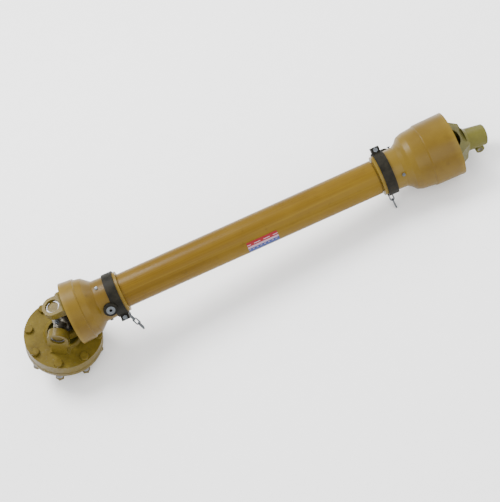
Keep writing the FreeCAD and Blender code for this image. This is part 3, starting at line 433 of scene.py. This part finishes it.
# Clutch springs: the foot is the distance from the joint centre along the clutch axis.
BOLT_COUNT = 8
BOLT_CIRCLE = 0.073
SPRING_FOOT = 0.1024
SPRING_LENGTH = 0.016
SPRING_COIL = 0.0086
SPRING_WIRE = 0.0016
SPRING_TURNS = 4.5
SPRING_STEPS = 110

# Release spring: the place runs along the yoke, the offset across it and the foot along the pin.
RELEASE_PLACE = 0.084
RELEASE_OFFSET = 0.021
RELEASE_FOOT = 0.020
RELEASE_LENGTH = 0.011
RELEASE_COIL = 0.0064
RELEASE_WIRE = 0.0007
RELEASE_TURNS = 5.0
RELEASE_STEPS = 130


def mesh_piece(name, work, material, body):
    """Turn a bmesh into a finished piece that rides on a body."""
    mesh = bpy.data.meshes.new(name)
    bmesh.ops.recalc_face_normals(work, faces=work.faces)
    work.to_mesh(mesh)
    work.free()
    item = bpy.data.objects.new(name, mesh)
    bpy.context.scene.collection.objects.link(item)
    mesh.materials.append(material)
    smooth(item, FINE_CREASE)
    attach(item, body)
    return item


def helix_points(radius, length, turns, steps):
    """Points of a compression spring about +Z from 0 to length, with closed end turns."""
    low = CLOSED_TURNS / turns
    high = 1 - CLOSED_TURNS / turns
    points = []
    for index in range(steps + 1):
        share = index / steps
        angle = 2 * math.pi * turns * share
        rise = min(max((share - low) / (high - low), 0.0), 1.0)
        points.append(Vector((radius * math.cos(angle), radius * math.sin(angle), rise * length)))
    return points


def tube_along(work, points, radius):
    """Sweep a round wire along points, closed at both ends."""
    rings = []
    side = None
    for index, point in enumerate(points):
        before = points[max(index - 1, 0)]
        after = points[min(index + 1, len(points) - 1)]
        ahead = (after - before).normalized()
        if side is None:
            side = ahead.orthogonal().normalized()
        side = (side - ahead * side.dot(ahead)).normalized()
        up = ahead.cross(side)
        ring = []
        for corner in range(WIRE_SIDES):
            angle = 2 * math.pi * corner / WIRE_SIDES
            outward = side * math.cos(angle) + up * math.sin(angle)
            ring.append(work.verts.new(point + outward * radius))
        rings.append(ring)
    for low, high in zip(rings, rings[1:]):
        for corner in range(WIRE_SIDES):
            following = (corner + 1) % WIRE_SIDES
            work.faces.new((low[corner], low[following], high[following], high[corner]))
    work.faces.new(list(reversed(rings[0])))
    work.faces.new(rings[-1])


def basis(origin, z_axis, x_axis):
    """Matrix with its Z and X along the given directions."""
    z_axis = z_axis.normalized()
    x_axis = (x_axis - z_axis * x_axis.dot(z_axis)).normalized()
    y_axis = z_axis.cross(x_axis)
    turn = Matrix((x_axis, y_axis, z_axis)).transposed().to_4x4()
    return Matrix.Translation(origin) @ turn


def bolt_directions():
    """Directions from the clutch axis to each of the clutch's bolts."""
    for number in range(BOLT_COUNT):
        yield Quaternion(CLUTCH_AXIS, 2 * math.pi * number / BOLT_COUNT) @ CLUTCH_PIN


def clutch_springs(material):
    """Eight helical springs, one mesh, in place of the CAD's stacked rings."""
    work = bmesh.new()
    points = helix_points(SPRING_COIL - SPRING_WIRE, SPRING_LENGTH - 2 * SPRING_WIRE, SPRING_TURNS,
                          SPRING_STEPS)
    for outward in bolt_directions():
        origin = LEFT_CENTRE + outward * BOLT_CIRCLE + CLUTCH_AXIS * (SPRING_FOOT + SPRING_WIRE)
        place = basis(origin, CLUTCH_AXIS, outward)
        tube_along(work, [place @ point for point in points], SPRING_WIRE)
    item = mesh_piece("helical_clutch_springs", work, material, "clutch_housing")
    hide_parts("clutch_springs")


def release_spring(material):
    """Helical return spring of the push pin."""
    mount = next(mount for mount in frame["record"]["mounts"] if mount["name"] == "tractor_spline")
    axis = Vector(mount["axis"]).normalized()
    out = -Vector(JOINTS["release_push"]["axis"]).normalized()
    foot = RIGHT_CENTRE + axis * RELEASE_PLACE + out.cross(axis) * RELEASE_OFFSET
    place = basis(foot + out * (RELEASE_FOOT + RELEASE_WIRE), out, axis)
    work = bmesh.new()
    points = helix_points(RELEASE_COIL, RELEASE_LENGTH - 2 * RELEASE_WIRE, RELEASE_TURNS, RELEASE_STEPS)
    tube_along(work, [place @ point for point in points], RELEASE_WIRE)
    item = mesh_piece("helical_release_spring", work, material, "tractor_yoke")
    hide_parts("release_spring")
    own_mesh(item)


# ------------------------------------------------------------------ stage
CAMERA_ELEVATION = math.radians(55.0)
CAMERA_ROLL = math.radians(24.17)
CAMERA_DISTANCE = 2.6
CAMERA_LENS = 90.0
CAMERA_SENSOR = 36.0
CAMERA_CLIP = 50.0
CAMERA_DROP = 0.0366
CAMERA_SHIFT = 0.001
FLOOR_HALF = 12.0
FLOOR_GAP = 0.0005
WORLD_STRENGTH = 1.7


def make_camera():
    """Camera square to the shaft, 55 degrees above it, rolled so that the shaft rises to the right."""
    across = Matrix.Rotation(TILT, 3, "Y")
    forward = across @ Vector((0, math.cos(CAMERA_ELEVATION), -math.sin(CAMERA_ELEVATION)))
    level = across @ Vector((1, 0, 0))
    above = level.cross(forward)
    right = level * math.cos(CAMERA_ROLL) - above * math.sin(CAMERA_ROLL)
    up = right.cross(forward)
    target = MIDDLE - up * CAMERA_DROP - right * CAMERA_SHIFT
    turn = Matrix((right, up, -forward)).transposed()
    data = bpy.data.cameras.new("camera")
    data.lens = CAMERA_LENS
    data.sensor_width = CAMERA_SENSOR
    data.clip_end = CAMERA_CLIP
    camera = bpy.data.objects.new("camera", data)
    camera.matrix_world = Matrix.Translation(target - forward * CAMERA_DISTANCE) @ turn.to_4x4()
    bpy.context.scene.collection.objects.link(camera)
    bpy.context.scene.camera = camera


def make_floor():
    """A plain pale floor, just under the part."""
    work = bmesh.new()
    bmesh.ops.create_grid(work, x_segments=1, y_segments=1, size=FLOOR_HALF)
    mesh = bpy.data.meshes.new("studio_floor")
    work.to_mesh(mesh)
    work.free()
    floor = bpy.data.objects.new("studio_floor", mesh)
    floor.location.z = -FLOOR_GAP
    bpy.context.scene.collection.objects.link(floor)
    n = Nodes("studio_floor")
    speck = n.noise(n.coordinates(), scale=30.0, detail=3.0)
    colour = n.mix(speck, (0.90, 0.90, 0.90), (0.93, 0.93, 0.93))
    mesh.materials.append(n.finish(colour, 0.8, specular=0.1))


def area_light(name, place, towards, extent, power):
    """A white disk light; extent is its width and power is in watts."""
    data = bpy.data.lights.new(name, "AREA")
    data.shape = "DISK"
    data.size = extent
    data.energy = power
    light = bpy.data.objects.new(name, data)
    light.location = place
    light.rotation_euler = (towards - Vector(place)).to_track_quat("-Z", "Y").to_euler()
    bpy.context.scene.collection.objects.link(light)


def make_lights():
    """Soft overhead key from the back left, broad fill from the front, rim light, pale surroundings."""
    area_light("key", (-0.7, 1.1, 2.2), MIDDLE, extent=1.3, power=100.0)
    area_light("fill", (0.8, -1.9, 1.6), MIDDLE, extent=2.2, power=36.0)
    area_light("rim", (1.6, 1.2, 1.2), RIGHT_CENTRE, extent=1.0, power=20.0)
    world = bpy.data.worlds.new("studio")
    world.use_nodes = True
    background = world.node_tree.nodes["Background"]
    background.inputs["Color"].default_value = (1.0, 1.0, 1.0, 1.0)
    background.inputs["Strength"].default_value = WORLD_STRENGTH
    bpy.context.scene.world = world


# ------------------------------------------------------------------ build
materials = make_materials()
dress_nodes(materials)
clutch_springs(materials["spring_steel"])
release_spring(materials["spring_steel"])
make_camera()
make_floor()
make_lights()
